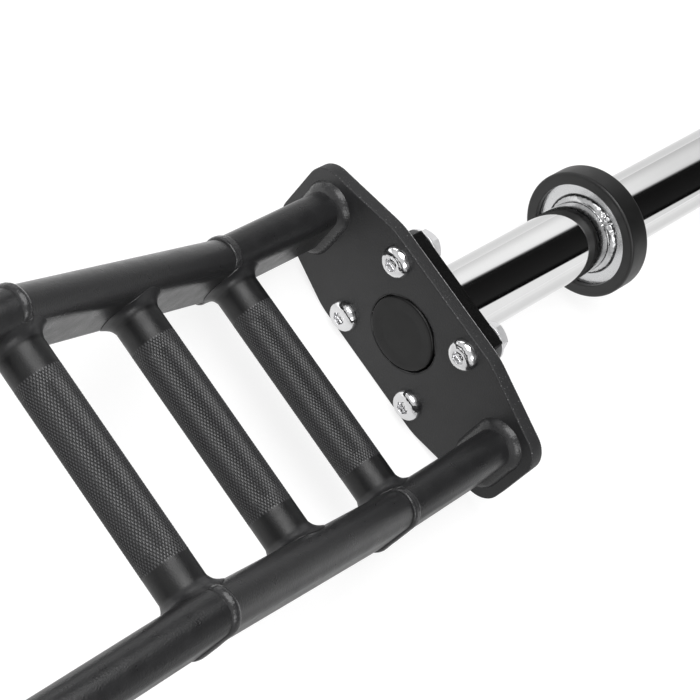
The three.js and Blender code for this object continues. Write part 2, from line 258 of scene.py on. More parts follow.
def surface_material(name, dark, light, rough, grain, relief, patch, metallic=0.0, ior=1.5,
                     wear_and_sheen=None, chips_and_glints=None):
    """A finish with fine relief and uneven colour and gloss.

    dark, light: the two sRGB colours that the patches run between. rough: lowest and highest roughness.
    grain, patch: sizes in mm of the relief's grain and of the patches. relief: its height in mm.
    wear_and_sheen: the name of a point attribute, and the colour and roughness that it leads to: wear on a
    plate's edges, and a painted sheen on the welds and the knurl's crests. chips_and_glints: the two values
    of that attribute times the grain between which the coat gives way, and the colour below it: bare steel,
    which along a plate's edges is also a painted glint.
    """
    material = bpy.data.materials.new(name)
    material.use_nodes = True
    tree = material.node_tree
    tree.nodes.clear()
    place = add(tree, "TexCoord").outputs["Object"]
    patches = add(tree, "TexNoise", {"Vector": place, "Scale": 1 / (patch * MM), "Detail": PATCH_DETAIL})
    fine = add(tree, "TexNoise", {"Vector": place, "Scale": 1 / (grain * MM), "Detail": GRAIN_DETAIL})
    colour = add(tree, "MixRGB", {"Fac": patches, "Color1": linear(dark), "Color2": linear(light)})
    gloss = add(tree, "MapRange", {"Value": patches, "From Min": PATCH_RANGE[0], "From Max": PATCH_RANGE[1],
                                   "To Min": rough[0], "To Max": rough[1]})
    if wear_and_sheen:
        attribute, wear_and_sheen_colour, wear_and_sheen_rough = wear_and_sheen
        amount = add(tree, "Attribute", attribute_name=attribute).outputs["Fac"]
        wear_and_sheen_share = add(tree, "MapRange", {"Value": amount})
        colour = add(tree, "MixRGB", {"Fac": wear_and_sheen_share, "Color1": colour, "Color2": linear(wear_and_sheen_colour)})
        gloss = add(tree, "Mix", {0: wear_and_sheen_share, 2: gloss, 3: wear_and_sheen_rough})
    if chips_and_glints:
        first, last, bare_and_glint_colour = chips_and_glints
        grainy = add(tree, "Math", {0: amount, 1: fine}, operation="MULTIPLY")
        bare_and_glint = add(tree, "MapRange", {"Value": grainy, "From Min": first, "From Max": last})
        colour = add(tree, "MixRGB", {"Fac": bare_and_glint, "Color1": colour, "Color2": linear(bare_and_glint_colour)})
    bump = add(tree, "Bump", {"Height": fine, "Strength": 1.0, "Distance": relief * MM})
    shader = add(tree, "BsdfPrincipled", {"Base Color": colour, "Roughness": gloss, "Normal": bump,
                                          "Metallic": metallic, "IOR": ior})
    add(tree, "OutputMaterial", {"Surface": shader})
    return material


# Real grains of 0.2 to 0.5 mm are too fine to show, so they are drawn at 0.8 to 1.2 mm

# Polyester powder coat, satin, baked on welded steel: a fine orange peel that breaks up highlights. It is
# glossier on the welds, and paler there as a painted sheen
powder_coat = surface_material(
    "powder_coat_satin_black", "#1e1e1f", "#262627", (0.27, 0.36), 1.0, 0.18, 9.0,
    wear_and_sheen=("weld", "#2e2e2f", 0.21))

# The same coat on a cut edge: thin and rough, with a paler grey, and bare steel in specks and along the
# outer edge, partly chipped coat and partly a painted glint where the rounded edges catch the light
edge_coat_wear_and_glints = surface_material(
    "powder_coat_on_cut_edge_wear_and_glints", "#252526", "#2c2c2d", (0.36, 0.46), 1.1, 0.14, 9.0,
    wear_and_sheen=("edge", "#252526", 0.55), chips_and_glints=(0.72, 1.2, "#c4c4c5"))

# The same coat on sawn plate, painted nearly black and with little shine: painted shade for the plate's
# shadow over the flange. Coarse, with sparkles
flange_coat_painted_shade = surface_material(
    "powder_coat_on_sawn_steel_painted_shade", "#040404", "#0a0a0a", (0.4, 0.55), 1.1, 0.4, 4.0, ior=1.22)

# The same coat on the knurl, painted darker all over as painted shade for its grooves, and paler and glossy
# on the crests as a painted glint
grip_coat_painted_shade_and_glints = surface_material(
    "powder_coat_on_knurled_steel_painted_shade_and_glints", "#0c0c0d", "#121213", (0.36, 0.46), 0.9, 0.08, 8.0,
    wear_and_sheen=("crest", "#5c5c5e", 0.16))

# Hard chrome plate on ground tube: a mirror with barely uneven gloss
sleeve_chrome = surface_material(
    "chrome_plate_polished", "#dedede", "#e8e8e8", (0.03, 0.06), 2.5, 0.0006, 30.0, metallic=1.0)

# Chrome plate over an as-welded bead: bright, and rougher than the tube
weld_chrome = surface_material(
    "chrome_plate_over_weld", "#b4b5b6", "#dcdcdd", (0.1, 0.3), 1.1, 0.08, 3.0, metallic=1.0)

# Chrome plate over the turned face of the collar's disc: greyer, with faint lines from the tool
disc_chrome = surface_material(
    "chrome_plate_over_turned_steel", "#c0c1c2", "#d6d6d7", (0.18, 0.3), 1.2, 0.05, 4.0, metallic=1.0)

# Bright nickel-chrome plate on cold-headed bolts: clear reflections, bent by the forged surface
fastener_plate = surface_material(
    "chrome_plate_on_forged_steel", "#e4e4e5", "#f0f0f1", (0.05, 0.12), 3.2, 0.3, 5.0, metallic=1.0)

# The same plate on drawn hexagon bar: finely pitted, so that its flats sparkle instead of mirroring.
# It is part matt and pale, a painted sheen that lightens the nuts and washers where their reflections are
# dark
nut_plate = surface_material(
    "chrome_plate_on_drawn_hexagon", "#e4e4e5", "#f2f2f3", (0.34, 0.5), 1.1, 0.12, 3.0, metallic=0.62)

# Moulded natural rubber: matt, with a fine grain from the mould
rubber = surface_material(
    "rubber_moulded_black", "#0e0e0e", "#131313", (0.36, 0.46), 0.8, 0.02, 12.0, ior=1.52)

# Injection-moulded polyethylene: deep black and matt, with the mould's spark-eroded grain
plastic = surface_material(
    "polyethylene_moulded_black", "#0a0a0a", "#121212", (0.4, 0.5), 0.8, 0.03, 10.0, ior=1.42)


# Meshes


def outwards(points, face_sets):
    """The faces of a closed shell turned outwards: all are reversed where the volume comes out negative."""
    volume = 0.0
    for faces in face_sets:
        first = points[faces[:, 0]]
        for k in range(1, faces.shape[1] - 1):
            corner = np.cross(points[faces[:, k]], points[faces[:, k + 1]])
            volume += np.einsum("ij,ij->", first, corner)
    return face_sets if volume > 0 else [faces[:, ::-1] for faces in face_sets]


def skin(rings, closed=False):
    """Closed shell over rings of equal point counts, as its points and faces.

    Quads join each ring to the next. A closed chain joins its last ring to its first, and an open one
    is closed at both ends by a fan from the middle of the end ring.
    """
    rows, columns = rings.shape[:2]
    index = np.arange(rows * columns).reshape(rows, columns)
    near = index if closed else index[:-1]
    far = np.roll(index, -1, 0) if closed else index[1:]
    quads = np.stack([near, np.roll(near, -1, 1), np.roll(far, -1, 1), far], -1).reshape(-1, 4)
    points = rings.reshape(-1, 3)
    if closed:
        return points, [quads]
    pole = np.full(columns, rows * columns)
    start = np.stack([pole, np.roll(index[0], -1), index[0]], -1)
    end = np.stack([pole + 1, index[-1], np.roll(index[-1], -1)], -1)
    points = np.vstack([points, rings[0].mean(0), rings[-1].mean(0)])
    return points, [quads, np.vstack([start, end])]


def piece(name, shell, place, material, node=None, crease=CREASE, wear_and_sheen=None):
    """One object made of a closed shell, smooth except where faces meet at more than the crease angle.

    place: 1 for the right end or -1 for the left one, which is the right one turned half round about the
    Z axis, and the shell's offset at the right end. wear_and_sheen: a point attribute's name and its
    values, which set wear and painted sheen in the material.
    """
    points, face_sets = shell
    end, offset = place
    points = (points + np.array(offset)) * np.array([end, end, 1])
    faces = [face for face_set in outwards(points, face_sets) for face in face_set.tolist()]
    mesh = bpy.data.meshes.new(name)
    mesh.from_pydata(points * MM, [], faces)
    mesh.materials.append(material)
    mesh.shade_smooth()
    mesh.set_sharp_from_angle(angle=math.radians(crease))
    if wear_and_sheen:
        layer = mesh.attributes.new(wear_and_sheen[0], "FLOAT", "POINT")
        layer.data.foreach_set("value", wear_and_sheen[1].astype(np.float32))
    made = bpy.data.objects.new(name, mesh)
    bpy.context.scene.collection.objects.link(made)
    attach(made, "root")
    if node:
        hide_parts(node)


def unit(vectors):
    """Each row's vector over its own length."""
    return vectors / np.maximum(np.linalg.norm(vectors, axis=1, keepdims=True), SAME_POINT)


def rounded(corners, radii, steps=6, closed=True):
    """A polygon with each corner replaced by an arc of its radius.

    Each point of the arc is its centre plus the radii to the two tangent points, weighted by the sines of
    the angles to the other end. An open line keeps its two ends. A point close to each arc's end, on the
    straight side, keeps the shading of long sides flat.
    """
    corners = np.asarray(corners, float)
    radii = np.broadcast_to(np.asarray(radii, float), len(corners))[:, None]
    back = unit(np.roll(corners, 1, 0) - corners)
    ahead = unit(np.roll(corners, -1, 0) - corners)
    middle = unit(back + ahead)
    half = np.arccos(np.clip((middle * ahead).sum(1, keepdims=True), -1, 1))
    centre = corners + middle * radii / np.sin(half)
    start = corners + back * radii / np.tan(half) - centre
    end = corners + ahead * radii / np.tan(half) - centre
    sweep = (math.pi - 2 * half)[:, None]
    share = np.linspace(0, 1, steps + 1)[None, :, None]
    arcs = np.sin((1 - share) * sweep) * start[:, None] + np.sin(share * sweep) * end[:, None]
    arcs = centre[:, None] + arcs / np.sin(sweep)
    side = np.roll(arcs[:, 0], -1, 0) - arcs[:, -1]
    length = np.linalg.norm(side, axis=1, keepdims=True)
    support = unit(side) * np.minimum(SUPPORT, SUPPORT_SHARE * length)
    arcs = np.concatenate([(arcs[:, 0] - np.roll(support, 1, 0))[:, None], arcs,
                           (arcs[:, -1] + support)[:, None]], 1)
    if not closed:
        arcs = [corners[:1], *arcs[1:-1], corners[-1:]]
    line = np.vstack(list(arcs))
    apart = np.linalg.norm(line - np.roll(line, 1, 0), axis=1) > SAME_POINT
    return line[apart]


def turned(rows, columns=ROUND_COLUMNS):
    """Rings about the X axis, each from a radius and a distance along X. The radius is one number, or one
    for each column where the ring isn't round."""
    angle = np.arange(columns) * TURN / columns
    radius = np.array([np.broadcast_to(row[0], columns) for row in rows])
    along = np.array([row[1] for row in rows])[:, None]
    return np.stack([along + 0 * angle, radius * np.cos(angle), radius * np.sin(angle)], -1)


def zigzag(turns):
    """Triangle wave: zero at each whole turn and one half-way between two."""
    return 1 - np.abs(2 * (turns % 1) - 1)


def fillet(leg, bulge_share=FILLET_BULGE):
    """Growth out of the tube and distance from the face across a fillet weld, from the face to the tube.

    Growth falls and distance climbs straight by one leg, and both gain the same bulge, a half sine of the
    share of the way across. That half sine comes third.
    """
    share = np.linspace(0, 1, FILLET_STEPS + 1)[:, None]
    weight = np.sin(math.pi * share)
    bulge = bulge_share * leg * weight
    return leg * (1 - share) + bulge, leg * share + bulge, weight


def ripples(around, across, count, height):
    """Height of a weld's ripples: a cosine along the weld whose phase lags with the square of the
    distance from its middle, so that each ripple is a crescent."""
    phase = count * around + RIPPLE_LAG * across ** 2
    return height * np.cos(TURN * phase)


def wander(around, height, phase=0.0):
    """Slow unevenness along a closed weld: three sines of unrelated whole counts."""
    waves = np.sin(TURN * 3 * around + phase) + np.sin(TURN * 7 * around + 2.1 * phase)
    return height * (waves + 0.7 * np.sin(TURN * 13 * around + 3.7 * phase)) / 2.7


# Rails


def oval_section():
    """Flat-oval section by arc length: the outward angle of the skin, and the height of the centre that
    it turns about, which climbs along one straight side and falls along the other."""
    length = np.arange(RAIL_COLUMNS) * RAIL_GIRTH / RAIL_COLUMNS
    arc = math.pi * RAIL_RADIUS
    first = length - RAIL_STRAIGHT
    second = first - arc - RAIL_STRAIGHT
    angle = (np.clip(first, 0, arc) + np.clip(second, 0, arc)) / RAIL_RADIUS
    rise = np.clip(length, 0, RAIL_STRAIGHT) - np.clip(first - arc, 0, RAIL_STRAIGHT)
    return angle, rise - RAIL_STRAIGHT / 2


SECTION_ANGLE, SECTION_CENTRE = oval_section()
AROUND = np.arange(RAIL_COLUMNS) / RAIL_COLUMNS


def tube_direction(angle):
    """Direction of a tube that falls by the angle outwards: cosine along X, minus sine along Z."""
    return np.array([math.cos(angle), 0, -math.sin(angle)])


def tube_upright(angle):
    """Direction square to such a tube, upwards: sine along X, cosine along Z."""
    return np.array([math.sin(angle), 0, math.cos(angle)])


def station(x, z, outer_angle, inner_angle):
    """A cut across the rail: its place, the tube's direction on both sides and the slant of its plane,
    the sum of both uprights over one plus their product."""
    outer, inner = tube_upright(outer_angle), tube_upright(inner_angle)
    return {
        "at": np.array([x, 0, z]),
        "outwards": tube_direction(outer_angle),
        "inwards": -tube_direction(inner_angle),
        "up": (outer + inner) / (1 + outer @ inner),
        "outer_up": outer,
        "inner_up": inner,
    }


PLATE_CUT = station(RAIL_REACH, AXIS_HEIGHT, 0, 0)
OUTER_MITRE = station(RAIL_REACH - LEVEL_END, AXIS_HEIGHT, 0, SLOPE_ANGLE)
INNER_MITRE = station(RAIL_REACH - LEVEL_END - SLOPE_RUN, AXIS_HEIGHT + CAMBER, SLOPE_ANGLE, 0)


def rail_rings(cut, distance, growth):
    """Rings of the rail's section at a cut. A point is the section's own point, grown along its outward
    angle and spread in the cut's plane, then moved along the tube: outwards where distance is positive,
    and inwards where it is negative."""
    distance, growth = np.broadcast_arrays(np.atleast_2d(distance), np.atleast_2d(growth))
    distance, growth = distance + 0 * AROUND, growth + 0 * AROUND
    across = (RAIL_RADIUS + growth) * np.cos(SECTION_ANGLE)
    up = SECTION_CENTRE + (RAIL_RADIUS + growth) * np.sin(SECTION_ANGLE)
    moved = (np.maximum(distance, 0)[..., None] * cut["outwards"]
             + np.maximum(-distance, 0)[..., None] * cut["inwards"])
    return cut["at"] + up[..., None] * cut["up"] + across[..., None] * np.array([0, 1, 0]) + moved


def clear_of_grips(x, z):
    """Share of a mitre's bead that is left where a grip is welded over it: a smooth step of the distance
    from the nearest grip's axis."""
    away = [np.hypot(x - place, z - grip_height(place)) for place in GRIP_PLACES.values()]
    share = np.clip((np.min(away, axis=0) - GRIP_RADIUS - GRIP_WELD_CLEAR) / GRIP_WELD_FADE, 0, 1)
    return share ** 2 * (3 - 2 * share)


def bead_rings(cut, side, phase):
    """The crown of a mitre's weld from its outer toe to its inner toe: a half circle flattened to the
    bead's height, with rippled height and slightly wandering width. On the rail's inner side it sinks
    away under the grip's weld."""
    angle = np.linspace(0, math.pi, 2 * BEAD_STEPS + 1)[:, None]
    half = MITRE_BEAD_WIDTH / 2 * (1 + wander(AROUND, MITRE_WIDTH_WANDER, phase))
    height = MITRE_BEAD_HEIGHT + TOE_DEPTH - MITRE_WANDER - MITRE_RIPPLE
    crown = np.sin(angle) * (height + wander(AROUND, MITRE_WANDER, 1.3 + phase))
    crown = crown + np.sin(angle) * ripples(AROUND, np.cos(angle), RAIL_RIPPLES, MITRE_RIPPLE)
    skin_line = rail_rings(cut, 0.0, 0.0)[0]
    inner = side * np.cos(SECTION_ANGLE) < 0
    crown = crown * np.where(inner, clear_of_grips(skin_line[:, 0], skin_line[:, 2]), 1.0)
    return rail_rings(cut, half * np.cos(angle), crown - TOE_DEPTH)


def level_end_rings(phase):
    """Level end of a rail: the fillet weld on the end plate, the tube to the mitre, and back inside. The
    weld's growth and reach swell with its ripples and its wandering."""
    growth, distance, weight = fillet(PLATE_FILLET_LEG)
    swell = weight * ripples(AROUND, 2 * weight, RAIL_RIPPLES, PLATE_WELD_RIPPLE)
    swell = swell + wander(AROUND, PLATE_WELD_WANDER, phase)
    reach = distance + weight * np.abs(swell)
    return np.concatenate([
        rail_rings(PLATE_CUT, -reach, growth + swell * (growth / PLATE_FILLET_LEG)),
        rail_rings(PLATE_CUT, -PLATE_FILLET_LEG - 1, 0.0),
        rail_rings(OUTER_MITRE, 0.0, 0.0),
        rail_rings(OUTER_MITRE, 0.0, -RAIL_WALL),
        rail_rings(PLATE_CUT, 0.0, -RAIL_WALL),
    ])


def slope_rings(side, phase):
    """Sloping tube with the weld beads of both its mitres, and back inside."""
    return np.concatenate([
        bead_rings(OUTER_MITRE, side, phase),
        bead_rings(INNER_MITRE, side, phase + 2.0),
        rail_rings(INNER_MITRE, 0.0, -RAIL_WALL),
        rail_rings(OUTER_MITRE, 0.0, -RAIL_WALL),
    ])


def middle_rings():
    """Level middle of a rail, from the inner mitre of one end to that of the other, and back inside."""
    half = rail_rings(INNER_MITRE, 0.0, 0.0)
    bore = rail_rings(INNER_MITRE, 0.0, -RAIL_WALL)
    other = np.array([-1, 1, 1])
    return np.concatenate([half, half * other, bore * other, bore])


# Grips


def grip_height(place):
    """Height of a grip's axis: it climbs with the rails from the outer mitre to the inner one."""
    return AXIS_HEIGHT + CAMBER * min(max((OUTER_MITRE["at"][0] - place) / SLOPE_RUN, 0), 1)


def rail_side(x, z):
    """Distance from the bar's middle plane to the inner side of a rail, beads included.

    Past the flat side it falls away as a circle of the height above it, and near a mitre's plane it
    comes forward by the bead's ellipse."""
    place = np.stack([x, 0 * x, z], -1)
    height = (place - OUTER_MITRE["at"]) @ OUTER_MITRE["outer_up"]
    beads = 0.0
    for cut in (OUTER_MITRE, INNER_MITRE):
        away = place - cut["at"]
        plane = cut["outwards"] - cut["inwards"]
        along = (away @ plane) / (cut["outwards"] @ plane)
        height = np.where(along < 0, away @ cut["inner_up"], height)
        reach = np.clip(np.abs(along) / (MITRE_BEAD_WIDTH / 2), 0, 1)
        beads = beads + MITRE_BEAD_HEIGHT * np.sqrt(1 - reach ** 2) * clear_of_grips(x, z)
    past = np.clip(np.abs(height) - RAIL_STRAIGHT / 2, 0, RAIL_RADIUS) / RAIL_RADIUS
    flat = (RAIL_SPACING - RAIL_WIDTH) / 2
    return flat + RAIL_RADIUS * (1 - np.sqrt(1 - past ** 2)) - beads


def knurl(around, along):
    """Share of the knurl's height: two families of V grooves that cross, each a triangle wave along its
    own helix, the lower of the two, cut off at the crest."""
    both = np.minimum(zigzag(KNURL_COUNT * around + along), zigzag(KNURL_COUNT * around - along))
    return np.minimum(both, KNURL_CREST) / KNURL_CREST


def grip_shell(place, phase):
    """A grip: a tube turned about Y whose ends flare into weld fillets that follow the rails' sides, with
    a knurled middle. Its rows step along Y and its columns turn about it. Returned with it is the share
    of painted glint on its coat at each point."""
    height = grip_height(place)
    plain_radius = GRIP_RADIUS - KNURL_RISE
    columns = KNURL_COUNT * KNURL_STEPS
    around = np.arange(columns) / columns
    cosine, sine = np.cos(TURN * around), np.sin(TURN * around)

    def end_rows(side):
        """Radius and Y of a fillet's rows: its distance is taken from the rail's side at each point."""
        growth, distance, weight = fillet(GRIP_FILLET_LEG, GRIP_FILLET_BULGE)
        swell = weight * ripples(around, 2 * weight, GRIP_RIPPLES, GRIP_WELD_RIPPLE)
        swell = swell + (growth / GRIP_FILLET_LEG) * wander(around, GRIP_WELD_WANDER, phase + side)
        radius = plain_radius + growth + swell
        seat = rail_side(place + radius * cosine, height + radius * sine)
        return radius, side * (seat - distance - weight * np.abs(swell))

    rows = round(KNURL_LENGTH / (KNURL_CELL / KNURL_STEPS)) + 1
    along = np.linspace(KNURL_LENGTH / 2, -KNURL_LENGTH / 2, rows)[:, None]
    share = knurl(around, along / KNURL_CELL)
    run_out = np.clip((KNURL_LENGTH / 2 - np.abs(along)) / KNURL_RUN_OUT, 0, 1)
    radius = plain_radius + run_out * (KNURL_RISE - KNURL_DEPTH * (1 - share))
    top_radius, top = end_rows(1)
    low_radius, low = end_rows(-1)
    plain = np.full((1, columns), plain_radius)
    bore = np.full((1, columns), GRIP_BORE)
    bore_end = np.full((1, columns), (RAIL_SPACING - RAIL_WIDTH) / 2 + 1)
    radii = np.vstack([top_radius[:1], top_radius, plain, radius, plain, low_radius[::-1], low_radius[:1],
                       bore, bore])
    ys = np.vstack([np.maximum(top[:1] + 1, bore_end), top, top[-1:] - 1, along + 0 * radius,
                    low[-1:] + 1, low[::-1], np.minimum(low[:1] - 1, -bore_end), -bore_end, bore_end])
    rings = np.stack([place + radii * cosine, ys, height + radii * sine], -1)

    # Split the knurl's quads along the grooves and ridges, which run through every second diagonal
    first = 2 + len(top)
    points, (quads,) = skin(rings, closed=True)
    grid = quads.reshape(-1, columns, 4)
    cells = grid[first:first + rows - 1].reshape(-1, 4)
    turn = KNURL_STEPS * (KNURL_COUNT * around + along[:-1] / KNURL_CELL)
    ridge = (np.round(turn).astype(int) % 2 == 0).reshape(-1, 1)
    one = np.where(ridge, cells[:, [0, 1, 2]], cells[:, [0, 1, 3]])
    two = np.where(ridge, cells[:, [0, 2, 3]], cells[:, [1, 2, 3]])
    rest = np.concatenate([grid[:first], grid[first + rows - 1:]]).reshape(-1, 4)

    # Painted glint on the knurl's crests, and a little on the fillets, which end four rows before the last
    crest = np.zeros(radii.shape)
    crest[first:first + rows] = run_out * share ** CREST_GLINT_POWER
    crest[1:FILLET_STEPS] = crest[-FILLET_STEPS - 3:-4] = WELD_GLINT
    return (points, [rest, one, two]), crest.ravel()


# Plates


def drilled_plate(outline, holes, near, far, rounding):
    """A flat plate across the X axis with its edges rounded, drilled with round holes.

    The edge of each loop is one strip: a quarter circle off the near face, the straight wall, a quarter
    circle onto the far face. Both faces are Delaunay triangles between the strips' rims, which lie a
    little further in. Returned with the shell is how worn its coat is at each point, which is also where its
    edges carry a painted glint.
    """
    circle = np.arange(BOLT_COLUMNS) * TURN / BOLT_COLUMNS
    ring = np.stack([np.cos(circle), -np.sin(circle)], -1)
    loops = [outline] + [np.array(centre) + radius * ring for centre, radius in holes]
    quarter = np.linspace(0, math.pi / 2, 5)
    inset = np.concatenate([[RIM_SUPPORT], 1 - np.sin(quarter)]) * rounding
    depth = np.concatenate([[0.0], 1 - np.cos(quarter)]) * rounding
    inset = np.concatenate([inset, inset[::-1]])
    along = np.concatenate([near + depth, (far - depth)[::-1]])
    points, faces, rims, wear_and_sheen, count = [], [], [], [], 0
    for loop in loops:
        before, after = unit(loop - np.roll(loop, 1, 0)), unit(np.roll(loop, -1, 0) - loop)
        normal = [np.stack([-side[:, 1], side[:, 0]], -1) for side in (before, after)]
        mitre = (normal[0] + normal[1]) / (1 + (normal[0] * normal[1]).sum(1, keepdims=True))
        flat = loop + inset[:, None, None] * mitre
        strip = np.concatenate([along[:, None, None] + 0 * flat[..., :1], flat], -1)
        index = count + np.arange(strip.shape[0] * len(loop)).reshape(strip.shape[0], -1)
        near_row, far_row = index[:-1], index[1:]
        faces.append(np.stack([near_row, far_row, np.roll(far_row, -1, 1), np.roll(near_row, -1, 1)],
                              -1).reshape(-1, 4))
        rims.append((index[0], index[-1], flat[0]))
        points.append(strip.reshape(-1, 3))
        wear_and_sheen.append(np.repeat(EDGE_WEAR_AND_GLINTS, len(loop)))
        count += index.size
    near_index, far_index, rim_points = (np.concatenate(rows) for rows in zip(*rims))
    starts = np.cumsum([len(loop) for loop in loops])
    edges = [np.stack([index, np.roll(index, -1)], -1)
             for index in np.split(np.arange(starts[-1]), starts[:-1])]
    _, _, triangles, origins, _, _ = delaunay_2d_cdt(
        [Vector(point) for point in rim_points.tolist()], np.vstack(edges).tolist(), [], 0, SAME_POINT)
    source = np.array([origin[0] for origin in origins])
    triangles = source[np.array(triangles)]
    middle = rim_points[triangles].mean(1)
    for centre, radius in holes:
        kept = np.linalg.norm(middle - np.array(centre), axis=1) > radius
        triangles, middle = triangles[kept], middle[kept]
    shell = np.vstack(points), [*faces, near_index[triangles][:, ::-1], far_index[triangles]]
    return shell, np.concatenate(wear_and_sheen)


def plate_outline():
    """Outline of the end plate: straight in the middle, tapered to both ends, with rounded corners."""
    half_width, half_height = PLATE_WIDTH / 2, PLATE_HEIGHT / 2
    end = half_height - (half_width - PLATE_STRAIGHT / 2) * math.tan(PLATE_TAPER)
    quarter = np.array([[half_width, end], [PLATE_STRAIGHT / 2, half_height]])
    corners = np.vstack([quarter, quarter[::-1] * [-1, 1], quarter * [-1, -1], quarter[::-1] * [1, -1]])
    radii = [PLATE_CORNER, PLATE_KNEE, PLATE_KNEE, PLATE_CORNER] * 2
    return rounded(corners, radii, steps=20)


def flange_outline():
    """Outline of the flange: a rectangle with its corners eased."""
    half = np.array([FLANGE_WIDTH, FLANGE_HEIGHT]) / 2
    corners = half * [[1, 1], [-1, 1], [-1, -1], [1, -1]]
    return rounded(corners, FLANGE_CORNER, steps=12)


# Round parts and fasteners


def hexagon(width):
    """Radius of a hexagon round its middle: half its width over the cosine of the angle from the middle
    of the nearest side."""
    angle = np.arange(BOLT_COLUMNS) * TURN / BOLT_COLUMNS
    return width / 2 / np.cos(angle % (TURN / 6) - TURN / 12)


def bolt_rings():
    """Button-head bolt in one skin: the drilled floor and walls of the socket, the flat, the dome, which
    is a quarter ellipse, the rim, the shank, and a thread whose depth is a triangle wave of the distance
    and the turn."""
    around = np.arange(BOLT_COLUMNS) / BOLT_COLUMNS
    socket = hexagon(SOCKET_WIDTH)
    top = -HEAD_HEIGHT
    floor = top + SOCKET_DEPTH
    drilled = [(0.6, floor + 1.3), (3.1, floor + 0.25), (3.4, floor), (socket * 0.99, floor)]
    walls = [(socket, floor - 0.2), (socket, top + 0.45), (socket + 0.12, top + 0.12), (socket + 0.4, top)]
    dome = np.linspace(0, math.pi / 2, 14)
    dome_radius = HEAD_FLAT + (HEAD_RADIUS - HEAD_FLAT) * np.sin(dome)
    dome_along = -HEAD_RIM - (HEAD_HEIGHT - HEAD_RIM) * np.cos(dome)
    rim = [(HEAD_RADIUS, -0.15), (HEAD_RADIUS - 0.15, 0.0)]
    clamped = PLATE_THICKNESS + FLANGE_THICKNESS + WASHER_THICKNESS + NUT_HEIGHT
    start = clamped - THREAD_IN_NUT
    end = clamped + BOLT_END
    shank = [(BOLT_RADIUS, 0.0), (BOLT_RADIUS, start - 0.4)]
    thread = [(BOLT_RADIUS - THREAD_DEPTH * (1 - zigzag(x / THREAD_PITCH - around)), x)
              for x in np.arange(start, end - THREAD_DEPTH, THREAD_PITCH / THREAD_STEPS)]
    tip = [(BOLT_RADIUS - THREAD_DEPTH - 0.3, end), (POLE_RADIUS, end)]
    return turned([*drilled, *walls, *zip(dome_radius, dome_along), *rim, *shank, *thread, *tip],
                  BOLT_COLUMNS)


def nut_rings(turn):
    """Hexagon nut turned about its axis: the smaller of the hexagon and the two cones that turn its
    corners off, with the bore countersunk at both faces."""
    sides = hexagon(NUT_WIDTH)
    height = np.concatenate([np.linspace(0, NUT_CORNERS, 10),
                             np.linspace(NUT_HEIGHT - NUT_CORNERS, NUT_HEIGHT, 10)])
    cone = NUT_WIDTH / 2 * NUT_FACE + np.minimum(height, NUT_HEIGHT - height) / math.tan(NUT_SLANT)
    bore = BOLT_RADIUS + PLAY
    rings = turned([
        (bore, COUNTERSINK), (bore + COUNTERSINK, 0.0),
        *((np.minimum(sides, limit), x) for x, limit in zip(height, cone)),
        (bore + COUNTERSINK, NUT_HEIGHT), (bore, NUT_HEIGHT - COUNTERSINK),
    ], BOLT_COLUMNS)
    return rings @ np.array(Matrix.Rotation(-turn, 3, "X"))


def round_weld(leg, face, facing, count, height, phase, lump=0.0):
    """Fillet weld round the sleeve on a face across it: the fillet's section carried round, rippled along
    the weld, with both toes wandering. Where the weld was closed it is lumpy: sines of unrelated counts
    along and across it, under a bell curve of the angle."""
    columns = 8 * count
    around = np.arange(columns) / columns
    growth, distance, weight = fillet(leg)
    swell = weight * ripples(around, 2 * weight, count, height)
    swell = swell + weight * wander(around, 3 * height, phase + 1)
    closed = np.exp(-((around - LUMP_PLACE) / LUMP_SPREAD) ** 2)
    step = np.linspace(0, 1, len(weight))[:, None]
    lumps = np.sin(TURN * 29 * around + 4 * step) * np.sin(6 * step - TURN * 13 * around)
    swell = swell + weight * closed * lump * (lumps + 0.4 * np.sin(TURN * 37 * around - 7 * step))
    radius = SLEEVE_RADIUS + growth + swell + (growth / leg) * wander(around, 4 * height, phase)
    along = distance + swell + (distance / leg) * wander(around, 4 * height, phase + 2)
    inside = np.full((1, columns), SLEEVE_RADIUS - 0.5)
    behind = np.full((1, columns), -0.4)
    radius = np.vstack([inside, radius[:1], radius, inside])
    along = np.vstack([behind, behind, along, along[-1:]])
    angle = TURN * around
    return np.stack([face + facing * along, radius * np.cos(angle), radius * np.sin(angle)], -1)


def sleeve_profile():
    """Section of the sleeve's tube, rounded most at its outer end."""
    corners = [(SLEEVE_BORE, SLEEVE_START), (SLEEVE_RADIUS, SLEEVE_START), (SLEEVE_RADIUS, SLEEVE_END),
               (SLEEVE_BORE, SLEEVE_END)]
    return rounded(corners, [0.2, 0.2, 0.9, 0.3])


def disc_profile():
    """Section of the collar's disc. Its near face carries the lines of the turning tool, a cosine of the
    radius, drawn 1.5 mm apart where real ones are 0.3 mm, so that they show."""
    bore = SLEEVE_RADIUS + PLAY
    far = DISC_FACE + DISC_THICKNESS
    corners = [(bore, DISC_FACE), (DISC_RADIUS, DISC_FACE), (DISC_RADIUS, far), (bore, far)]
    section = rounded(corners, DISC_ROUNDING)
    radius = np.arange(bore + TURNING_START, RING_OPENING + 1, TURNING_PITCH / TURNING_STEPS)
    depth = TURNING_DEPTH * (1 - np.cos(TURN * radius / TURNING_PITCH))
    lines = np.stack([radius, DISC_FACE + depth], -1)
    first = np.argmax(section[:, 0] > bore + TURNING_START)
    return np.vstack([section[:first], lines, section[first:]])


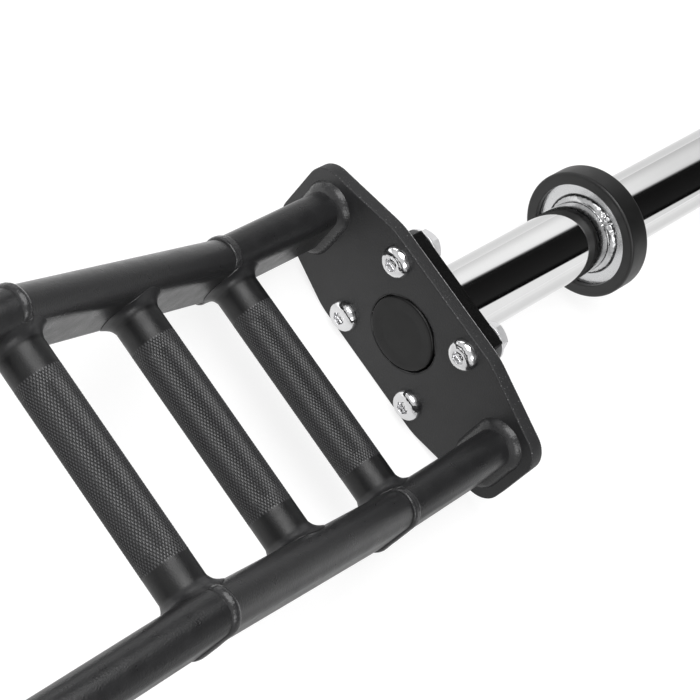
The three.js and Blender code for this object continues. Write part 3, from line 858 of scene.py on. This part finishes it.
def ring_profile():
    """Section of the rubber ring: rounded outer edges, and a groove inside that holds the disc's rim."""
    near, far = COLLAR_FACE, COLLAR_FACE + RING_WIDTH
    lip = (RING_WIDTH - DISC_THICKNESS) / 2 - RING_PLAY
    groove = DISC_RADIUS + RING_PLAY
    corners = [(RING_OPENING, near), (RING_RADIUS, near), (RING_RADIUS, far), (RING_OPENING, far),
               (RING_OPENING, far - lip), (groove, far - lip), (groove, near + lip),
               (RING_OPENING, near + lip)]
    return rounded(corners, [0.9, RING_ROUNDING, RING_ROUNDING, 0.9, 0.5, 0.4, 0.4, 0.5])


def plug_profile():
    """Plug of the plate's hole: a face that sinks by a hair inside its shoulder, the rounded shoulder, the
    side in the hole and the neck in the flange's bore."""
    end = PLATE_THICKNESS + PLUG_NECK_LENGTH
    corners = [(POLE_RADIUS, PLUG_SINK - PLUG_RISE), (PLUG_RADIUS - PLUG_DISH, PLUG_SINK - PLUG_RISE),
               (PLUG_RADIUS - PLUG_SHOULDER, -PLUG_RISE), (PLUG_RADIUS, -PLUG_RISE),
               (PLUG_RADIUS, PLATE_THICKNESS), (PLUG_NECK, PLATE_THICKNESS), (PLUG_NECK, end),
               (POLE_RADIUS, end)]
    return rounded(corners, [0, 20, 5, 1.3, 0.3, 0.1, 1.0, 0], closed=False)


def cap_profile():
    """Cap at the sleeve's outer end: a rounded rim, a shallow dish and a plug inside the bore."""
    rim, body = SLEEVE_RADIUS - 1, SLEEVE_BORE - 0.3
    near, far = SLEEVE_END - CAP_DEPTH, SLEEVE_END + CAP_HEIGHT
    corners = [(POLE_RADIUS, near), (body, near), (body, SLEEVE_END), (rim, SLEEVE_END), (rim, far),
               (rim - CAP_RIM, far), (rim - CAP_RIM - 1, far - CAP_DISH), (POLE_RADIUS, far - CAP_DISH)]
    return rounded(corners, [0, 0.5, 0.2, 0.2, 1.2, 0.4, 0.4, 0], closed=False)


# Both ends


BOLT_PLACES = [(BOLT_OFFSET * y, BOLT_OFFSET * z) for y, z in ((1, 1), (-1, 1), (-1, -1), (1, -1))]
PLUG_PLACE = (RAIL_REACH, PLUG_OFF_CENTRE[0], AXIS_HEIGHT + PLUG_OFF_CENTRE[1])
WASHER_RINGS = turned(rounded([(BOLT_HOLE, 0), (WASHER_RADIUS, 0), (WASHER_RADIUS, WASHER_THICKNESS),
                               (BOLT_HOLE, WASHER_THICKNESS)], WASHER_ROUNDING), BOLT_COLUMNS)
bolt_holes = [(place, BOLT_HOLE) for place in BOLT_PLACES]
end_plate, plate_edge_wear_and_glints = drilled_plate(plate_outline(), [((0, 0), PLUG_HOLE), *bolt_holes],
                                      RAIL_REACH, FLANGE_FACE, PLATE_ROUNDING)
flange_plate, _ = drilled_plate(flange_outline(), [((0, 0), SLEEVE_BORE), *bolt_holes],
                                FLANGE_FACE, SLEEVE_START, FLANGE_ROUNDING)

# Share of weld at each point, where the coat is glossier and paler, a painted sheen: one on the plate's
# fillets, and on the mitres' beads twice the sine that makes their crown, but not more than one. The last
# rows of both tubes are plain.
bead_share = np.minimum(2 * np.sin(np.linspace(0, math.pi, 2 * BEAD_STEPS + 1)), 1)
level_weld = np.repeat(np.arange(len(level_end_rings(0))) < FILLET_STEPS, RAIL_COLUMNS)
slope_weld = np.repeat([*bead_share, *bead_share, 0, 0], RAIL_COLUMNS)

for end_name, end in (("right", 1), ("left", -1)):
    on_axis = end, (0, 0, AXIS_HEIGHT)
    for side in (-1, 1):
        rail = "front" if side * end < 0 else "back"
        place = end, (0, side * RAIL_SPACING / 2, 0)
        phase = 1.7 * side + 0.9 * end
        piece(f"level_tube_{rail}_{end_name}", skin(level_end_rings(phase), True), place, powder_coat,
              f"rail_{rail}_end_{end_name}", wear_and_sheen=("weld", level_weld))
        piece(f"slope_tube_{rail}_{end_name}", skin(slope_rings(side, phase), True), place, powder_coat,
              f"rail_{rail}_slope_{end_name}", wear_and_sheen=("weld", slope_weld))
    for number, (grip_name, grip_place) in enumerate(GRIP_PLACES.items()):
        shell, crest = grip_shell(grip_place, number + end)
        piece(f"knurled_grip_{grip_name}_{end_name}", shell, (end, (0, 0, 0)), grip_coat_painted_shade_and_glints,
              f"grip_{grip_name}_{end_name}", crease=GRIP_CREASE, wear_and_sheen=("crest", crest))
    piece(f"tapered_plate_{end_name}", end_plate, on_axis, edge_coat_wear_and_glints,
          f"end_plate_{end_name}", wear_and_sheen=("edge", plate_edge_wear_and_glints))
    piece(f"square_flange_{end_name}", flange_plate, on_axis, flange_coat_painted_shade,
          f"flange_{end_name}")
    foot_weld = round_weld(FOOT_FILLET_LEG, SLEEVE_START, 1, FOOT_RIPPLES, FOOT_WELD_RIPPLE, end)
    piece(f"sleeve_foot_weld_{end_name}", skin(foot_weld, True), on_axis, powder_coat)
    piece(f"round_plug_{end_name}", skin(turned(plug_profile())), (end, PLUG_PLACE), plastic,
          f"plate_plug_{end_name}")
    for number, (y, z) in enumerate(BOLT_PLACES, 1):
        for name, rings, closed, x, material, node, crease in (
                ("button_bolt", bolt_rings(), False, RAIL_REACH, fastener_plate, "bolt", BOLT_CREASE),
                ("flat_washer", WASHER_RINGS, True, SLEEVE_START, nut_plate, "washer", CREASE),
                ("hexagon_nut", nut_rings(NUT_TURNS[number - 1]), True, SLEEVE_START + WASHER_THICKNESS,
                 nut_plate, "nut", NUT_CREASE)):
            piece(f"{name}_{end_name}_{number}", skin(rings, closed), (end, (x, y, AXIS_HEIGHT + z)),
                  material, f"{node}_{end_name}_{number}", crease)
    piece(f"chrome_tube_{end_name}", skin(turned(sleeve_profile()), True), on_axis, sleeve_chrome,
          f"sleeve_{end_name}")
    piece(f"welded_disc_{end_name}", skin(turned(disc_profile()), True), on_axis, disc_chrome,
          f"collar_disc_{end_name}")
    collar_weld = round_weld(COLLAR_FILLET_LEG, DISC_FACE, -1, COLLAR_RIPPLES, COLLAR_WELD_RIPPLE,
                             2 * end, COLLAR_LUMP)
    piece(f"collar_weld_{end_name}", skin(collar_weld, True), on_axis, weld_chrome)
    piece(f"rubber_ring_{end_name}", skin(turned(ring_profile()), True), on_axis, rubber,
          f"collar_ring_{end_name}")
    piece(f"end_cap_{end_name}", skin(turned(cap_profile())), on_axis, plastic,
          f"sleeve_cap_{end_name}")

for side, rail in ((-1, "front"), (1, "back")):
    piece(f"middle_tube_{rail}", skin(middle_rings(), True), (1, (0, side * RAIL_SPACING / 2, 0)),
          powder_coat, f"rail_{rail}_middle")


# Studio


def from_middle(stops, reach):
    """Stops with places from -reach to reach, moved to the places from zero to one of a ramp."""
    return [(0.5 + 0.5 * place / reach, strength) for place, strength in stops]


# A pale floor. The camera sees its paint and a glow, and polished metal sees strengths of its own, by the
# distance in metres to the front or back of the bar: one row between the end plates, and one past them.
FLOOR_SIZE = 60.0
FLOOR_SHARE = 0.32
FLOOR_GLOW = 0.78
FLOOR_REACH = 4.8
CAGE_END = (0.5, 0.56)
CAGE_FLOOR_STOPS = ((-4.8, 0.15), (-0.14, 0.15), (-0.09, 0.5), (0.0, 0.6), (0.1, 0.64), (0.14, 0.95),
                    (4.8, 0.95))
SLEEVE_FLOOR_STOPS = ((-4.8, 0.9), (-1.5, 0.86), (-0.6, 0.7), (-0.3, 0.68), (-0.1, 0.5), (-0.065, 0.49),
                      (-0.03, 0.72), (0.0, 0.94), (0.035, 0.77), (0.065, 0.54), (0.126, 0.46), (0.5, 0.56),
                      (1.5, 0.74), (4.8, 0.76))

floor_mesh = bpy.data.meshes.new("studio_floor")
floor_corners = FLOOR_SIZE / 2 * np.array([[-1, -1, 0], [1, -1, 0], [1, 1, 0], [-1, 1, 0]])
floor_mesh.from_pydata(floor_corners, [], [(0, 1, 2, 3)])
studio_floor = bpy.data.objects.new("studio_floor", floor_mesh)
bpy.context.scene.collection.objects.link(studio_floor)
floor_material = bpy.data.materials.new("floor_paint_white")
floor_material.use_nodes = True
tree = floor_material.node_tree
tree.nodes.clear()
path = add(tree, "LightPath").outputs
spot = add(tree, "SeparateXYZ", {0: add(tree, "TexCoord").outputs["Object"]}).outputs
beside = add(tree, "Math", {0: spot["X"]}, operation="ABSOLUTE")
aside = add(tree, "MapRange", {"Value": spot["Y"], "From Min": -FLOOR_REACH, "From Max": FLOOR_REACH})
cage = add(tree, "ValToRGB", {"Fac": aside}, from_middle(CAGE_FLOOR_STOPS, FLOOR_REACH))
sleeves = add(tree, "ValToRGB", {"Fac": aside}, from_middle(SLEEVE_FLOOR_STOPS, FLOOR_REACH))
past = add(tree, "MapRange", {"Value": beside, "From Min": CAGE_END[0], "From Max": CAGE_END[1]},
           interpolation_type="SMOOTHSTEP")
bright = add(tree, "Mix", {0: past, 2: cage, 3: sleeves})
through = add(tree, "Math", {0: path["Is Camera Ray"], 1: path["Is Transmission Ray"]}, operation="MAXIMUM")
glow = add(tree, "Math", {0: through, 1: FLOOR_GLOW}, operation="MULTIPLY")
shine = add(tree, "Math", {0: path["Is Glossy Ray"], 1: bright, 2: glow}, operation="MULTIPLY_ADD")
paint = add(tree, "BsdfDiffuse", {"Color": (FLOOR_SHARE, FLOOR_SHARE, FLOOR_SHARE, 1)})
light = add(tree, "Emission", {"Color": (1, 1, 1, 1), "Strength": shine})
both = add(tree, "AddShader", {0: paint, 1: light})
add(tree, "OutputMaterial", {"Surface": both})
floor_mesh.materials.append(floor_material)

# Surroundings, which the metal shows: pale walls all round, strongest past the bar's ends. The walls'
# strengths run along the bar's own direction, from -1 to 1. Matt surfaces get even light.
WALL_STOPS = ((-1.0, 0.88), (-0.3, 0.6), (0.15, 0.1), (0.575, 0.06), (0.62, 1.0), (0.72, 1.0),
              (0.77, 0.8), (0.93, 0.42), (0.98, 0.25), (1.0, 0.2))
AMBIENT = 0.5

# On the bar's far side the walls are dimmer near the floor and brighter higher up: the shares by which
# they change, and the height where that ends
FAR_WALL = (-0.2, 0.08)
FAR_WALL_TOP = 0.45

# Higher still is a ceiling: its strengths over the bar's far end and over the rest, and where along the
# bar's direction one changes to the other
UPPER_STRENGTHS = (0.65, 0.2)
UPPER_CHANGE = (-0.3, 0.0)

# Towards the near end the ceiling is a band along the bar, which leans over further along. Its shares of
# the wall's strength run across it.
CEILING_STOPS = ((0.0, 1.0), (0.132, 1.0), (0.152, 0.002), (0.2, 0.003), (0.27, 0.02), (0.45, 0.014),
                 (0.7, 0.009), (0.8, 0.012), (0.825, 0.2), (0.86, 0.9), (0.92, 1.0), (1.0, 1.0))
CEILING_SPAN = (0.5, 0.85)
CEILING_LEANS = (math.radians(29.38), math.radians(-47.97))
CEILING_REACH = math.radians(65)

# Smooth steps to the far side, to the ceiling and over both ends of the band: the component of the
# direction, and where the step starts and ends
STEPS = {"far_side": ("Y", 0.1, 0.35), "above": ("Z", 0.25, 0.5), "inner": ("X", 0.12, 0.26),
         "outer": ("X", 0.92, 0.82)}

world = bpy.data.worlds.new("studio_surroundings")
world.use_nodes = True
bpy.context.scene.world = world
tree = world.node_tree
tree.nodes.clear()
toward = add(tree, "SeparateXYZ", {0: add(tree, "TexCoord").outputs["Generated"]}).outputs
step = {name: add(tree, "MapRange", {"Value": toward[axis], "From Min": start, "From Max": end},
                  interpolation_type="SMOOTHSTEP")
        for name, (axis, start, end) in STEPS.items()}
end_on = add(tree, "MapRange", {"Value": toward["X"], "From Min": -1.0})
wall = add(tree, "ValToRGB", {"Fac": end_on}, from_middle(WALL_STOPS, 1.0))
climb = add(tree, "MapRange", {"Value": toward["Z"], "From Max": FAR_WALL_TOP,
                               "To Min": FAR_WALL[0], "To Max": FAR_WALL[1]},
            interpolation_type="SMOOTHSTEP")
lift = add(tree, "Math", {0: step["far_side"], 1: climb, 2: 1.0}, operation="MULTIPLY_ADD")
lit = add(tree, "Math", {0: wall, 1: lift}, operation="MULTIPLY")
high = add(tree, "MapRange", {"Value": toward["X"], "From Min": UPPER_CHANGE[0], "From Max": UPPER_CHANGE[1],
                              "To Min": UPPER_STRENGTHS[0], "To Max": UPPER_STRENGTHS[1]})
upper = add(tree, "Mix", {0: step["above"], 2: lit, 3: high})
across = add(tree, "Math", {0: toward["Y"], 1: toward["Z"]}, operation="ARCTAN2")
lean = add(tree, "MapRange", {"Value": toward["X"], "From Min": CEILING_SPAN[0], "From Max": CEILING_SPAN[1],
                              "To Min": CEILING_LEANS[0], "To Max": CEILING_LEANS[1]})
tilt = add(tree, "Math", {0: across, 1: lean}, operation="SUBTRACT")
spread = add(tree, "MapRange", {"Value": tilt, "From Min": -CEILING_REACH, "From Max": CEILING_REACH})
band = add(tree, "ValToRGB", {"Fac": spread}, CEILING_STOPS)
banded = add(tree, "Math", {0: lit, 1: band}, operation="MULTIPLY")
inside = add(tree, "Math", {0: step["inner"], 1: step["outer"]}, operation="MULTIPLY")
seen = add(tree, "Mix", {0: inside, 2: upper, 3: banded})
path = add(tree, "LightPath").outputs
mirrored = add(tree, "Math", {0: path["Is Glossy Ray"], 1: path["Is Transmission Ray"]}, operation="MAXIMUM")
direct = add(tree, "Math", {0: mirrored, 1: path["Is Camera Ray"]}, operation="MAXIMUM")
backdrop = add(tree, "Math", {0: seen, 1: path["Is Camera Ray"]}, operation="MAXIMUM")
visible = add(tree, "Background", {"Color": (1, 1, 1, 1), "Strength": backdrop})
ambient = add(tree, "Background", {"Color": (1, 1, 1, 1), "Strength": AMBIENT})
choice = add(tree, "MixShader", {0: direct, 1: ambient, 2: visible})
add(tree, "OutputWorld", {"Surface": choice})

# Soft lamps: place, aim and width in metres, and power in watts
LAMPS = {
    "overhead_lamp": ((0.12, 0.22, 1.35), (0.2, 0.1, 0), 1.2, 13.5),
    "front_lamp": ((-0.6, -2.4, 1.5), (0.4, 0, 0.1), 1.6, 20),
    "back_lamp": ((0.9, 2.6, 1.1), (0.4, 0, 0.1), 1.8, 13),
}
for name, (place, aim, width, power) in LAMPS.items():
    lamp_data = bpy.data.lights.new(name, "AREA")
    lamp_data.shape = "DISK"
    lamp_data.size = width
    lamp_data.energy = power
    lamp = bpy.data.objects.new(name, lamp_data)
    bpy.context.scene.collection.objects.link(lamp)
    lamp.location = place
    lamp.rotation_euler = (Vector(aim) - Vector(place)).to_track_quat("-Z", "Y").to_euler()

# Camera at the photograph's angle: its place in mm, and its directions to the right, down and ahead
CAMERA_PLACE = (-324.68, -154.44, 963.63)
CAMERA_RIGHT = (0.67759393, -0.57417503, 0.45955359)
CAMERA_DOWN = (-0.37605023, -0.80750702, -0.45444322)
CAMERA_AHEAD = (0.6320227, 0.13511274, -0.76308051)
camera_data = bpy.data.cameras.new("camera")
camera_data.sensor_width = 36.0
camera_data.lens = 101.39
camera_data.clip_start = 0.01
camera = bpy.data.objects.new("camera", camera_data)
bpy.context.scene.collection.objects.link(camera)
camera_axes = Matrix((Vector(CAMERA_RIGHT), -Vector(CAMERA_DOWN), -Vector(CAMERA_AHEAD))).transposed()
camera.matrix_world = Matrix.LocRotScale(Vector(CAMERA_PLACE) * MM, camera_axes, None)
bpy.context.scene.camera = camera

bpy.context.scene.view_settings.view_transform = "Standard"
